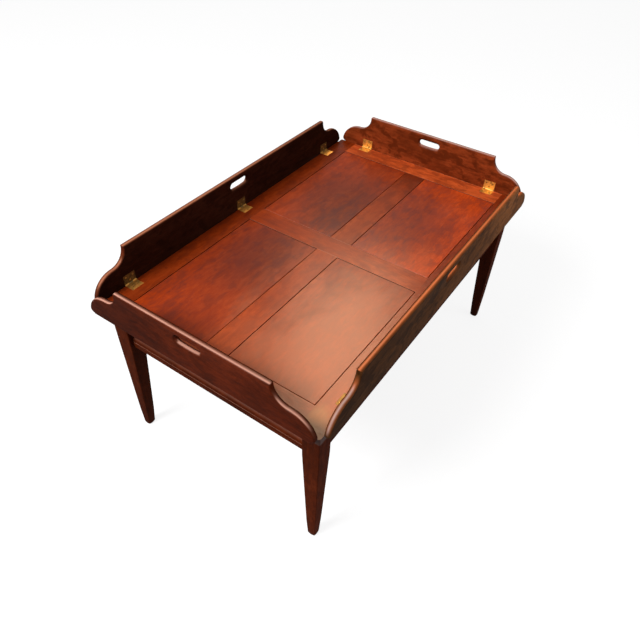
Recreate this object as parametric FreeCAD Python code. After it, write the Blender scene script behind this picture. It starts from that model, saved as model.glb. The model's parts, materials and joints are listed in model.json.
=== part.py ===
import FreeCAD, Part
import math
import os

os.makedirs("parts", exist_ok=True)

# Butler's tray table: a tray with four hinged flaps on a low four-legged base.
# Lengths are in millimetres. The origin is on the floor under the middle.
# X runs along the table with the left end at minus X, Y runs across with the
# front long side at minus Y, and Z is up. The flaps are drawn upright.

# Tray
tray_length = 996.6
tray_width = 603.8
tray_top_height = 436.0
tray_corner_radius = 4.0
frame_thickness = 18.0
stile_width = 52.7
end_rail_width = 59.7
cross_rail_width = 62.0
muntin_width = 60.0

# Panels, let into grooves of the frame with an open line round each field
panel_line_width = 1.6
panel_arris = 0.7
tongue_thickness = 6.0
groove_depth = 8.0
groove_play = 0.1
tongue_end_play = 0.5

# Flaps
flap_thickness = 13.0
flap_height = 100.0
long_flap_end_margin = 7.3
short_flap_end_margin = 0.9
lobe_radius = 60.0
lobe_drop = 2.1
shoulder_height = 1.0
flap_corner_radius = 3.4
lower_corner_radius = 10.0
flap_edge_bevel = 2.2
flap_edge_limit_share = 0.3
flap_tuck = 1.5
flap_flat_play = 0.2

# Hand holes in the flaps
hand_hole_length = 64.0
hand_hole_height = 17.0
hand_hole_end_radius = 8.0
hand_hole_top_margin = 18.5
hand_hole_bevel = 5.2
hand_hole_bevel_limit_share = 0.4

# Hinges
leaf_length = 33.0
leaf_depth = 26.0
leaf_thickness = 1.8
leaf_play = 0.1
knuckle_radius = 2.5
knuckle_play = 0.3
middle_knuckle_length = 12.0
knuckle_side_play = 0.2
pin_radius = 1.3
pin_play = 0.04
hinge_end_distance = 95.0

# Legs
leg_end_inset = 20.7
leg_side_inset = 13.7
leg_width = 42.0
foot_width = 22.0
leg_end_taper = 0.5
leg_side_taper = 3.0
leg_arris = 1.4
foot_round_radius = 5.5
foot_round_limit_share = 0.3
foot_round_steps = 3

# Aprons, with their tenons in the legs
apron_height = 103.5
apron_thickness = 16.0
apron_setback = 20.0
tenon_thickness = 7.0
tenon_shoulder = 10.0
tenon_wall = 0.8
mortise_play = 0.1
mortise_end_play = 0.6

# Bead mouldings along the lower edges of the aprons
bead_projection = 10.0
bead_radius = 12.0
bead_quirk_depth = 1.6
bead_quirk_height = 2.2
bead_flat_height = 17.0
bead_arris_radius = 2.0
bead_end_play = 0.1

# Corner blocks behind the legs
block_reach = 64.0
block_drop = 35.0
block_rise = 18.5
block_leg_play = 0.5

# Locating battens under the tray
batten_width = 22.0
batten_depth = 18.0
batten_play = 2.0
batten_arris = 3.0

# One overrun for every cut
overrun = 1.0

half_length = tray_length / 2
half_width = tray_width / 2
tray_bottom = tray_top_height - frame_thickness
apron_bottom = tray_bottom - apron_height
hinge_offset = flap_tuck + flap_flat_play
axis_half_length = half_length + hinge_offset
axis_half_width = half_width + hinge_offset

leg_outer_x = half_length - leg_end_inset
leg_outer_y = half_width - leg_side_inset
leg_inner_x = leg_outer_x - leg_width
leg_inner_y = leg_outer_y - leg_width
apron_outer_x = leg_outer_x - apron_setback
apron_outer_y = leg_outer_y - apron_setback
apron_inner_x = apron_outer_x - apron_thickness
apron_inner_y = apron_outer_y - apron_thickness

origin = FreeCAD.Vector(0, 0, 0)
along = FreeCAD.Vector(1, 0, 0)
across = FreeCAD.Vector(0, 1, 0)
up = FreeCAD.Vector(0, 0, 1)
diagonal_share = 1 - math.cos(math.pi / 4)
parts = {}


def box(x_low, x_high, y_low, y_high, z_low, z_high):
    """A box between two corners."""
    corner = FreeCAD.Vector(x_low, y_low, z_low)
    return Part.makeBox(x_high - x_low, y_high - y_low, z_high - z_low, corner)


def polygon_face(points):
    """A flat face between points."""
    return Part.Face(Part.makePolygon(points + points[:1]))


def prism(points, push):
    """A polygon pushed along a vector."""
    return polygon_face(points).extrude(push)


def arc(start, middle, end):
    """An edge along the circle through three points."""
    return Part.Arc(start, middle, end).toShape()


def on_circle(centre, radius, angle):
    """A point on a circle in the XZ plane, the angle counted from X."""
    run = radius * math.cos(angle)
    rise = radius * math.sin(angle)
    return FreeCAD.Vector(centre.x + run, 0, centre.z + rise)


def mirrored_x(shape):
    """The shape mirrored from one end of the table to the other."""
    return shape.mirror(origin, along)


def mirrored_y(shape):
    """The shape mirrored from one long side to the other."""
    return shape.mirror(origin, across)


def moved(shape, x, y):
    """A copy of the shape moved level."""
    copy = shape.copy()
    copy.translate(FreeCAD.Vector(x, y, 0))
    return copy


def crosswise(shape):
    """A copy of the shape turned from along X to along Y."""
    copy = shape.copy()
    copy.rotate(origin, up, 90)
    return copy


def at_four_corners(name, shape):
    """Store a piece of the back right corner and its three mirror images."""
    parts[f"{name}_back_right"] = shape
    parts[f"{name}_back_left"] = mirrored_x(shape)
    parts[f"{name}_front_right"] = mirrored_y(shape)
    parts[f"{name}_front_left"] = mirrored_x(mirrored_y(shape))


# Hinge lines: in the local frame of a side the hinge line is the X axis, the
# tray lies below it towards minus Y and the upright flap stands at plus Y. The
# lower edge of the flap hangs a little below the line and hides the joint, and
# the line stands off the tray by as much, so that the flap folds flat beside it.

long_flap_length = tray_length - 2 * long_flap_end_margin
short_flap_length = tray_width - 2 * short_flap_end_margin
long_hinge_reach = long_flap_length / 2 - hinge_end_distance
short_hinge_reach = short_flap_length / 2 - hinge_end_distance
side_spots = {
    "back": FreeCAD.Vector(0, axis_half_width, tray_top_height),
    "front": FreeCAD.Vector(0, -axis_half_width, tray_top_height),
    "left": FreeCAD.Vector(-axis_half_length, 0, tray_top_height),
    "right": FreeCAD.Vector(axis_half_length, 0, tray_top_height),
}
side_turns = {"back": 0, "front": 180, "left": 90, "right": -90}
flap_lengths = {
    "back": long_flap_length,
    "front": long_flap_length,
    "left": short_flap_length,
    "right": short_flap_length,
}
hinge_places = {
    "back": [-long_hinge_reach, 0, long_hinge_reach],
    "front": [-long_hinge_reach, 0, long_hinge_reach],
    "left": [-short_hinge_reach, short_hinge_reach],
    "right": [-short_hinge_reach, short_hinge_reach],
}


def on_side(shape, side):
    """A copy of a shape drawn in the local frame, put on its side of the tray."""
    copy = shape.copy()
    copy.rotate(origin, up, side_turns[side])
    copy.translate(side_spots[side])
    return copy


# Hinges


def rod(x_low, x_high, radius):
    """A round rod along the hinge line."""
    return Part.makeCylinder(radius, x_high - x_low, FreeCAD.Vector(x_low, 0, 0), along)


def tray_leaf(place):
    """The leaf let into the tray, with the two outer knuckles and the pin fixed in them."""
    low = place - leaf_length / 2
    high = place + leaf_length / 2
    inner = (middle_knuckle_length + knuckle_side_play) / 2
    clear = knuckle_radius + knuckle_play
    leaf = box(low, high, -leaf_depth, 0, -leaf_thickness, 0)
    leaf = leaf.cut(box(place - inner, place + inner, -clear, clear, -clear, clear))
    leaf = leaf.fuse(rod(low, place - inner, knuckle_radius))
    leaf = leaf.fuse(rod(place + inner, high, knuckle_radius))
    return leaf.fuse(rod(low, high, pin_radius)).removeSplitter()


def flap_leaf(place):
    """The leaf let into the flap, with the middle knuckle that turns on the pin."""
    low = place - leaf_length / 2
    high = place + leaf_length / 2
    inner = (middle_knuckle_length - knuckle_side_play) / 2
    clear = knuckle_radius + knuckle_play
    leaf = box(low, high, 0, leaf_thickness, 0, leaf_depth)
    leaf = leaf.cut(box(low - overrun, place - inner, -clear, clear, -clear, clear))
    leaf = leaf.cut(box(place + inner, high + overrun, -clear, clear, -clear, clear))
    leaf = leaf.fuse(rod(place - inner, place + inner, knuckle_radius))
    leaf = leaf.cut(rod(low - overrun, high + overrun, pin_radius + pin_play))
    return leaf.removeSplitter()


def tray_pocket(place):
    """What is cut out of the tray for one hinge."""
    reach = leaf_length / 2 + leaf_play
    depth = leaf_depth + leaf_play
    pocket = box(place - reach, place + reach, -depth, overrun, -leaf_thickness, overrun)
    return pocket.fuse(rod(place - reach, place + reach, knuckle_radius + knuckle_play))


def flap_pocket(place):
    """What is cut out of a flap for one hinge."""
    reach = leaf_length / 2 + leaf_play
    depth = leaf_depth + leaf_play
    below = flap_tuck + overrun
    pocket = box(place - reach, place + reach, -overrun, leaf_thickness, -below, depth)
    return pocket.fuse(rod(place - reach, place + reach, knuckle_radius + knuckle_play))


for side, places in hinge_places.items():
    for count, place in enumerate(places, start=1):
        parts[f"tray_leaf_{side}_{count}"] = on_side(tray_leaf(place), side)
        parts[f"flap_leaf_{side}_{count}"] = on_side(flap_leaf(place), side)


# Flaps


def flap_outline(length):
    """The outline of a flap: a lobe and a scoop at each end under a straight top."""
    half = length / 2
    lobe_run = math.sqrt(lobe_radius ** 2 - lobe_drop ** 2)
    lobe_centre = FreeCAD.Vector(half - lobe_run, 0, -flap_tuck - lobe_drop)
    lobe_middle_angle = (math.asin(lobe_drop / lobe_radius) + math.pi / 2) / 2
    lobe_top = FreeCAD.Vector(lobe_centre.x, 0, lobe_centre.z + lobe_radius)
    corner_height = flap_height - flap_corner_radius
    scoop_height = corner_height - shoulder_height
    scoop_radius = scoop_height - lobe_top.z
    scoop_centre = FreeCAD.Vector(lobe_centre.x, 0, scoop_height)
    shoulder = lobe_centre.x - scoop_radius
    corner_centre = FreeCAD.Vector(shoulder - flap_corner_radius, 0, corner_height)

    low_end = FreeCAD.Vector(half, 0, -flap_tuck)
    scoop_end = FreeCAD.Vector(shoulder, 0, scoop_height)
    corner_start = FreeCAD.Vector(shoulder, 0, corner_height)
    corner_end = FreeCAD.Vector(corner_centre.x, 0, flap_height)
    right_end = [
        arc(low_end, on_circle(lobe_centre, lobe_radius, lobe_middle_angle), lobe_top),
        arc(lobe_top, on_circle(scoop_centre, scoop_radius, math.radians(225)), scoop_end),
        Part.makeLine(scoop_end, corner_start),
        arc(corner_start, on_circle(corner_centre, flap_corner_radius, math.radians(45)), corner_end),
    ]
    left_end = [mirrored_x(edge) for edge in right_end]
    top = Part.makeLine(corner_end, FreeCAD.Vector(-corner_end.x, 0, flap_height))
    bottom = Part.makeLine(FreeCAD.Vector(-half, 0, -flap_tuck), low_end)
    return Part.Wire(Part.__sortEdges__(right_end + left_end + [top, bottom]))


def hand_hole_outline():
    """The outline of a hand hole: straight above, round at the ends and bowed below."""
    high = flap_height - hand_hole_top_margin
    low = high - hand_hole_height
    reach = hand_hole_length / 2 - hand_hole_end_radius
    end_centre = FreeCAD.Vector(reach, 0, high - hand_hole_end_radius)
    drop = low - end_centre.z
    bow_square = hand_hole_end_radius ** 2 - reach ** 2 - drop ** 2
    bow_radius = bow_square / (drop + hand_hole_end_radius) / 2
    bow_centre = FreeCAD.Vector(0, 0, low + bow_radius)
    meeting_angle = math.atan2(end_centre.z - bow_centre.z, reach)
    meeting = on_circle(bow_centre, bow_radius, meeting_angle)
    end_angle = (meeting_angle + math.pi / 2) / 2
    end_high = FreeCAD.Vector(reach, 0, high)
    right_end = arc(end_high, on_circle(end_centre, hand_hole_end_radius, end_angle), meeting)
    top = Part.makeLine(FreeCAD.Vector(-reach, 0, high), end_high)
    bow = arc(meeting, FreeCAD.Vector(0, 0, low), FreeCAD.Vector(-meeting.x, 0, meeting.z))
    return Part.Wire(Part.__sortEdges__([top, right_end, bow, mirrored_x(right_end)]))


def runs_through(edge):
    """Whether an edge of a flap runs through its thickness."""
    return edge.BoundBox.YLength > flap_thickness / 2


def flap(length, places):
    """A flap bevelled all round but below, with a hand hole with wide bevels and hinge pockets."""
    push = FreeCAD.Vector(0, flap_thickness, 0)
    board = Part.Face(flap_outline(length)).extrude(push)
    low_ends = [edge for edge in board.Edges if runs_through(edge) and edge.BoundBox.ZMax < flap_height / 2]
    board = board.makeFillet(lower_corner_radius, low_ends)
    bevel = min(flap_edge_bevel, flap_thickness * flap_edge_limit_share)
    board = board.makeChamfer(bevel, [edge for edge in board.Edges if not runs_through(edge)])
    # The lower edge is filled out square between its rounded ends
    run = length / 2 - lower_corner_radius - bevel
    foot = box(-run, run, 0, flap_thickness, -flap_tuck, 2 * bevel - flap_tuck)
    board = board.fuse(foot).removeSplitter()
    hole = Part.Face(hand_hole_outline()).extrude(push)
    board = board.cut(hole)
    room = hole.BoundBox
    room.enlarge(overrun)
    rims = [edge for edge in board.Edges if room.isInside(edge.BoundBox) and not runs_through(edge)]
    board = board.makeChamfer(min(hand_hole_bevel, flap_thickness * hand_hole_bevel_limit_share), rims)
    for place in places:
        board = board.cut(flap_pocket(place))
    return board


for side, places in hinge_places.items():
    parts[f"flap_{side}"] = on_side(flap(flap_lengths[side], places), side)


# Tray frame

groove_low = tray_bottom + (frame_thickness - tongue_thickness) / 2
groove_high = groove_low + tongue_thickness + groove_play
tongue_high = groove_low + tongue_thickness
tongue_length = groove_depth - tongue_end_play


def groove(y_edge, inward):
    """The four corners of a groove in the edge of a section, from below upwards."""
    floor = y_edge + inward * groove_depth
    return [
        FreeCAD.Vector(0, y_edge, groove_low),
        FreeCAD.Vector(0, floor, groove_low),
        FreeCAD.Vector(0, floor, groove_high),
        FreeCAD.Vector(0, y_edge, groove_high),
    ]


def frame_member(length, width, both_grooves, tenons):
    """A member along X with a groove in its inner edge, or in both, and stub tenons if asked."""
    half = width / 2
    points = [FreeCAD.Vector(0, half, tray_bottom)]
    if both_grooves:
        points = points + groove(half, -1)
    points.append(FreeCAD.Vector(0, half, tray_top_height))
    points.append(FreeCAD.Vector(0, -half, tray_top_height))
    points = points + groove(-half, 1)[::-1]
    points.append(FreeCAD.Vector(0, -half, tray_bottom))
    member = moved(prism(points, along * length), -length / 2, 0)
    if tenons:
        reach = length / 2 + tongue_length
        tenon_high_edge = half
        if both_grooves:
            tenon_high_edge = half - groove_depth
        tenon = box(-reach, reach, groove_depth - half, tenon_high_edge, groove_low, tongue_high)
        member = member.fuse(tenon).removeSplitter()
    return member


def with_pockets(member, side):
    """A frame member with the hinge pockets of its side cut out."""
    for place in hinge_places[side]:
        member = member.cut(on_side(tray_pocket(place), side))
    return member


stile = moved(frame_member(tray_length, stile_width, False, False), 0, half_width - stile_width / 2)
outer_corners = []
for edge in stile.Edges:
    bounds = edge.BoundBox
    if bounds.ZLength > frame_thickness / 2 and bounds.YMin > half_width - groove_depth:
        outer_corners.append(edge)
stile = stile.makeFillet(tray_corner_radius, outer_corners)
parts["stile_back"] = with_pockets(stile, "back")
parts["stile_front"] = with_pockets(mirrored_y(stile), "front")

rail_length = tray_width - 2 * stile_width
end_rail = frame_member(rail_length, end_rail_width, False, True)
end_rail = moved(crosswise(end_rail), end_rail_width / 2 - half_length, 0)
parts["end_rail_left"] = with_pockets(end_rail, "left")
parts["end_rail_right"] = with_pockets(mirrored_x(end_rail), "right")
parts["cross_rail"] = crosswise(frame_member(rail_length, cross_rail_width, True, True))

bay_low = cross_rail_width / 2
bay_high = half_length - end_rail_width
muntin = frame_member(bay_high - bay_low, muntin_width, True, True)
muntin = moved(muntin, (bay_low + bay_high) / 2, 0)


# Panels

bed_low = muntin_width / 2
bed_high = half_width - stile_width
panel = box(
    bay_low + panel_line_width,
    bay_high - panel_line_width,
    bed_low + panel_line_width,
    bed_high - panel_line_width,
    tray_bottom,
    tray_top_height,
)
upper_edges = [edge for edge in panel.Edges if edge.BoundBox.ZMin > groove_high]
panel = panel.makeChamfer(panel_arris, upper_edges)
tongue = box(
    bay_low - tongue_length,
    bay_high + tongue_length,
    bed_low - tongue_length,
    bed_high + tongue_length,
    groove_low,
    tongue_high,
)
panel = panel.fuse(tongue).removeSplitter()


# Locating battens under the tray, just inside the legs

batten_high = min(leg_inner_x, apron_inner_x) - batten_play
batten_low = batten_high - batten_width
batten_reach = apron_inner_y - batten_play
batten_bottom = tray_bottom - batten_depth
batten = box(batten_low, batten_high, -batten_reach, batten_reach, batten_bottom, tray_bottom)
lower_edges = [edge for edge in batten.Edges if edge.BoundBox.ZMax < tray_bottom - batten_depth / 2]
batten = batten.makeChamfer(batten_arris, lower_edges)
parts["batten_right"] = batten
parts["batten_left"] = mirrored_x(batten)
parts["muntin_right"] = muntin
parts["muntin_left"] = mirrored_x(muntin)
at_four_corners("panel", panel)


# Legs


def eased_square(x_outer, y_outer, width, height):
    """The points of a level square with its corners cut off, given by its outer corner."""
    corners = [
        FreeCAD.Vector(x_outer - width, y_outer - width, height),
        FreeCAD.Vector(x_outer, y_outer - width, height),
        FreeCAD.Vector(x_outer, y_outer, height),
        FreeCAD.Vector(x_outer - width, y_outer, height),
    ]
    points = []
    for index, corner in enumerate(corners):
        following = corners[(index + 1) % len(corners)]
        points.append(corner + (corners[index - 1] - corner).normalize() * leg_arris)
        points.append(corner + (following - corner).normalize() * leg_arris)
    return points


def leg_section(height, inset):
    """The points of the tapered leg at a height, drawn in by an inset on all sides."""
    taper_share = 1 - height / apron_bottom
    x_outer = leg_outer_x - leg_end_taper * taper_share - inset
    y_outer = leg_outer_y - leg_side_taper * taper_share - inset
    width = leg_width - (leg_width - foot_width) * taper_share - 2 * inset
    return eased_square(x_outer, y_outer, width, height)


def flat_sided(sections):
    """A solid with flat sides between level sections of as many points."""
    faces = [polygon_face(sections[0]), polygon_face(sections[-1])]
    for lower, upper in zip(sections, sections[1:]):
        for index, corner in enumerate(lower):
            faces.append(polygon_face([lower[index - 1], corner, upper[index], upper[index - 1]]))
    return Part.Solid(Part.Shell(faces))


foot_round = min(foot_round_radius, foot_width * foot_round_limit_share)
leg_sections = []
for step in range(foot_round_steps + 1):
    angle = math.pi / 2 * step / foot_round_steps
    rise = foot_round * (1 - math.cos(angle))
    leg_sections.append(leg_section(rise, foot_round * (1 - math.sin(angle))))
leg_sections.append(leg_section(apron_bottom, 0))
leg_sections.append(eased_square(leg_outer_x, leg_outer_y, leg_width, tray_bottom))
leg = flat_sided(leg_sections)

tenon_low = apron_bottom + tenon_shoulder
tenon_high = tray_bottom - tenon_shoulder
tenon_cheek = (apron_thickness - tenon_thickness) / 2
tenon_inner_x = apron_inner_x + tenon_cheek
tenon_inner_y = apron_inner_y + tenon_cheek
tenon_outer_x = tenon_inner_x + tenon_thickness
tenon_outer_y = tenon_inner_y + tenon_thickness
tenon_stop = mortise_play + tenon_wall + mortise_end_play
back_tenon_reach = tenon_inner_x - tenon_stop
right_tenon_reach = tenon_inner_y - tenon_stop
back_mortise = box(
    leg_inner_x - overrun,
    back_tenon_reach + mortise_end_play,
    tenon_inner_y - mortise_play,
    tenon_outer_y + mortise_play,
    tenon_low - mortise_play,
    tenon_high + mortise_play,
)
right_mortise = box(
    tenon_inner_x - mortise_play,
    tenon_outer_x + mortise_play,
    leg_inner_y - overrun,
    right_tenon_reach + mortise_end_play,
    tenon_low - mortise_play,
    tenon_high + mortise_play,
)
at_four_corners("leg", leg.cut(back_mortise).cut(right_mortise))


# Aprons and the corner blocks behind the legs

apron_back = box(-leg_inner_x, leg_inner_x, apron_inner_y, apron_outer_y, apron_bottom, tray_bottom)
back_tenon = box(
    -back_tenon_reach, back_tenon_reach, tenon_inner_y, tenon_outer_y, tenon_low, tenon_high
)
apron_back = apron_back.fuse(back_tenon).removeSplitter()
apron_right = box(apron_inner_x, apron_outer_x, -leg_inner_y, leg_inner_y, apron_bottom, tray_bottom)
right_tenon = box(
    tenon_inner_x, tenon_outer_x, -right_tenon_reach, right_tenon_reach, tenon_low, tenon_high
)
apron_right = apron_right.fuse(right_tenon).removeSplitter()

block_top = tray_bottom - block_drop
block_bottom = apron_bottom + block_rise
block = prism(
    [
        FreeCAD.Vector(apron_inner_x, apron_inner_y, block_bottom),
        FreeCAD.Vector(apron_inner_x - block_reach, apron_inner_y, block_bottom),
        FreeCAD.Vector(apron_inner_x, apron_inner_y - block_reach, block_bottom),
    ],
    up * (block_top - block_bottom),
)
leg_room = box(
    leg_inner_x - block_leg_play,
    leg_outer_x,
    leg_inner_y - block_leg_play,
    leg_outer_y,
    block_bottom - overrun,
    block_top + overrun,
)
parts["apron_back"] = apron_back
parts["apron_front"] = mirrored_y(apron_back)
parts["apron_right"] = apron_right
parts["apron_left"] = mirrored_x(apron_right)
at_four_corners("corner_block", block.cut(leg_room))


# Bead mouldings along the lower edges of the aprons


def bead(length):
    """A moulding along X on a face at zero Y: a round top, a quirk and a flat."""
    quirk_low = apron_bottom + bead_flat_height
    spring = quirk_low + bead_quirk_height
    sweep = math.acos(1 - bead_projection / bead_radius)
    crown = spring + bead_radius * math.sin(sweep)
    belly = bead_projection - bead_radius * (1 - math.cos(sweep / 2))
    quirk = bead_projection - bead_quirk_depth
    slant = bead_arris_radius * diagonal_share
    foot = FreeCAD.Vector(0, 0, apron_bottom)
    toe = FreeCAD.Vector(0, bead_projection - bead_arris_radius, apron_bottom)
    nose = FreeCAD.Vector(0, bead_projection - slant, apron_bottom + slant)
    lip = FreeCAD.Vector(0, bead_projection, apron_bottom + bead_arris_radius)
    flat_top = FreeCAD.Vector(0, bead_projection, quirk_low)
    quirk_floor = FreeCAD.Vector(0, quirk, quirk_low)
    quirk_roof = FreeCAD.Vector(0, quirk, spring)
    round_start = FreeCAD.Vector(0, bead_projection, spring)
    round_middle = FreeCAD.Vector(0, belly, spring + bead_radius * math.sin(sweep / 2))
    round_end = FreeCAD.Vector(0, 0, crown)
    outline = [
        Part.makeLine(foot, toe),
        arc(toe, nose, lip),
        Part.makeLine(lip, flat_top),
        Part.makeLine(flat_top, quirk_floor),
        Part.makeLine(quirk_floor, quirk_roof),
        Part.makeLine(quirk_roof, round_start),
        arc(round_start, round_middle, round_end),
        Part.makeLine(round_end, foot),
    ]
    strip = Part.Face(Part.Wire(outline)).extrude(along * length)
    return moved(strip, -length / 2, 0)


long_bead = bead(2 * (leg_inner_x - bead_end_play))
parts["bead_back"] = moved(long_bead, 0, apron_outer_y)
parts["bead_front"] = mirrored_y(parts["bead_back"])
short_bead = crosswise(bead(2 * (leg_inner_y - bead_end_play)))
parts["bead_left"] = moved(short_bead, -apron_outer_x, 0)
parts["bead_right"] = mirrored_x(parts["bead_left"])


for name, shape in parts.items():
    shape.exportStep(f"parts/{name}.step")
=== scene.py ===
import json
import logging
import math
from dataclasses import dataclass, replace
from enum import Enum

import bmesh
import bpy
from mathutils import Matrix, Vector


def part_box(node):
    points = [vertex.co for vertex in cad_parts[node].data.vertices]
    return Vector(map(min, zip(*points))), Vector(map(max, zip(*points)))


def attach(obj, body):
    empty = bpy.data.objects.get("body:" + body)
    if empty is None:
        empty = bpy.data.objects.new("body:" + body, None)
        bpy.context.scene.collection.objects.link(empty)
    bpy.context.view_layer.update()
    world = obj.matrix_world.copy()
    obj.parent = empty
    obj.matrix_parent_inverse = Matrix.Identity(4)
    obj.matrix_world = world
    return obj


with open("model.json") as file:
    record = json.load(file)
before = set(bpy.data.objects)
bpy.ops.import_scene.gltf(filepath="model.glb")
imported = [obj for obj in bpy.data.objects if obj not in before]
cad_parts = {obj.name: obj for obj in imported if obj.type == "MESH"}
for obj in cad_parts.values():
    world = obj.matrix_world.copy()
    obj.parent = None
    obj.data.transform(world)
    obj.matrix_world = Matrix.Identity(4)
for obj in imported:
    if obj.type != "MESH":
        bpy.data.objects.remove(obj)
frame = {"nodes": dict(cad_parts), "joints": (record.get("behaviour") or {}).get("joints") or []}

LOG = logging.getLogger("tray_table")
Triple = tuple[float, float, float]
Colour = Triple
Socket = bpy.types.NodeSocket

# Lengths are in metres, and the top of the tray lies at this height.
MM = 0.001
TOP = 0.436

SIDES = ("front", "back", "left", "right")
LONG_SIDES = ("front", "back")
CORNERS = ("front_left", "front_right", "back_left", "back_right")
HINGES = {"front": 3, "back": 3, "left": 2, "right": 2}

# Edges that turn more than the first are shaded sharp, and those that turn more than the second are rounded.
SMOOTH_TURN = math.radians(30)
MARKED_TURN = math.radians(28)
EDGE_STEPS = 4
ROUND_PROFILE = 0.5
WELD_REACH = 0.01 * MM
FOOT_CUTS = 2

# The sockets of a node that mixes colours: its share and two colours, and its result.
MIX_INPUTS = (0, 6, 7)
MIX_RESULT = 2

# The numbers that give boards a figure of their own. Panels and flaps count on from theirs.
BOARDS = {
    "panel": 1, "stile": 5, "muntin": 6, "end_rail": 7, "cross_rail": 8, "batten": 9, "flap": 11, "leg": 21,
    "long_apron": 22, "short_apron": 23, "corner_block": 24, "long_bead": 25, "short_bead": 26,
}


class Grain(Enum):
    """The way the grain of a board runs, with the turn that brings it onto X."""

    ALONG = (0.0, 0.0, 0.0)
    ACROSS = (0.0, 0.0, -math.pi / 2)
    UPRIGHT = (0.0, math.pi / 2, 0.0)

    @property
    def across(self) -> str:
        """Name the level axis across the board."""
        return "Y" if self is Grain.ALONG else "X"


class Blend(Enum):
    """The ways of laying one colour over another."""

    MIX = "MIX"
    MULTIPLY = "MULTIPLY"


@dataclass(frozen=True)
class Fade:
    """A range of values that is stretched over another one, with the ends held."""

    low: float
    high: float
    to_low: float = 0.0
    to_high: float = 1.0

    def to(self, low: float, high: float) -> "Fade":
        """Give the same range, stretched over other values."""
        return replace(self, to_low=low, to_high=high)


@dataclass(frozen=True)
class NoiseLayer:
    """A cloudy pattern.

    Attributes:
        stretch: How much it is drawn together along each axis.
        scale: Features to the metre.
        detail: Number of finer layers.
        rough: Weight of the finer layers.
        warp: How much it is stirred.
    """

    stretch: Triple
    scale: float
    detail: float
    rough: float
    warp: float = 0.0


@dataclass(frozen=True)
class Relief:
    """How strongly a pattern stands out of a surface."""

    strength: float
    depth: float


@dataclass(frozen=True)
class Spot:
    """A spot where a finish has changed its colour."""

    place: Triple
    reach: float
    strength: float
    tint: Colour
    blend: Blend = Blend.MULTIPLY


@dataclass(frozen=True)
class RimPlaces:
    """Where the painted highlight line and the painted shade of a board's rounded edge lie across its
    thickness.

    The line is palest at one place and fades to nothing at an inner and an outer one.
    """

    inward: float
    inner: float
    line: float
    outer: float
    shade_from: float
    shade_to: float


# The figure of the wood, from broad bands along the grain down to its pores.
BAND = NoiseLayer((1.0, 2.8, 2.8), scale=2.6, detail=3.0, rough=0.5, warp=0.35)
FIBRE = NoiseLayer((1.0, 18.0, 18.0), scale=9.0, detail=5.0, rough=0.6, warp=0.1)
FLECK = NoiseLayer((0.4, 1.0, 1.0), scale=85.0, detail=4.0, rough=0.7, warp=0.3)
CLOUD = NoiseLayer((0.5, 1.0, 1.0), scale=7.0, detail=4.0, rough=0.6, warp=0.4)
MOTTLE = NoiseLayer((0.6, 1.0, 1.0), scale=38.0, detail=3.0, rough=0.6, warp=0.4)
PORE = NoiseLayer((1.0, 22.0, 22.0), scale=70.0, detail=2.0, rough=0.5)
BOARD_STEP = (0.731, 0.417, 0.293)
BAND_SHARE = 0.42
FIBRE_SHARE = 0.18
FLECK_SHARE = 0.40
PORE_SHARE = 0.22
PORE_DEPTH = 0.5
MIDDLE_FADE = Fade(0.36, 0.52)
LIGHT_FADE = Fade(0.48, 0.62)
SMEAR_FADE = Fade(0.46, 0.68)
SPECK_FADE = Fade(0.48, 0.62)
PORE_FADE = Fade(0.60, 0.70)
DULL_FADE = Fade(0.3, 0.7, -0.05, 0.07)
FIBRE_DULL_FADE = Fade(0.3, 0.7, -0.03, 0.03)
GRAIN_RELIEF = Relief(0.10, 0.4 * MM)
VARNISH_RELIEF = Relief(0.6, 0.5 * MM)

# Edges lightened by use and by painted highlights, painted light on rims, and painted shade on sides, rims
# and undersides, all found by the way the surface faces.
EDGE_SAMPLES = 6
EDGE_FADE = Fade(0.22, 0.7)
WEAR_AND_HIGHLIGHT_FADE = Fade(0.35, 0.6)
LEAST_WEAR_AND_HIGHLIGHT = 0.3
SIDE_FADE = Fade(0.7, 0.3)
RIM_TURN = 0.4
PATCHY_RIM_FADE = Fade(0.3, 0.7, 1.0, 0.65)
BROAD_RIM_FADE = Fade(0.15, 0.65)
SIDE_RIM = 0.4
INSIDE_FADE = Fade(0.4, 0.8)
UNDER_FADE = Fade(-0.25, -0.7)
SHADE_SHARE = 0.2
INNER_SHADE = 0.85
LINE_POWER = 2.2
LINE_LEVEL_FADE = Fade(0.5, 0.85, 0.05, 1.0)

# Where along X the front flap's top edge gives way to its near lobe.
LOBE_FADE = Fade(-0.395, -0.415)

# Spots have ragged outlines, and on the top one spot is a painted sheen.
SPOT_STRETCH = (0.8, 1.0, 1.0)
SPOT_CORE = 0.2
RAGGED_FADE = Fade(0.25, 0.75)
RAGGED_SHARE = 0.25
PAINTED_SHEEN = Spot((-0.37, -0.25, TOP), 0.40, 0.0, (0.68, 0.186, 0.078), Blend.MIX)

# Tarnish and fine scratches on brass.
TARNISH = NoiseLayer((1.0, 1.0, 1.0), scale=95.0, detail=4.0, rough=0.65, warp=0.6)
SCRATCH = NoiseLayer((1.0, 14.0, 3.0), scale=240.0, detail=3.0, rough=0.6)
TARNISH_FADE = Fade(0.46, 0.70)
TARNISH_DULL = 0.22
SCRATCH_FADE = Fade(0.3, 0.7, -0.05, 0.06)
SCRATCH_RELIEF = Relief(0.08, 0.15 * MM)
BRASS_EDGE = 0.7 * MM
BRASS_RUB = 0.35


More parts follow.
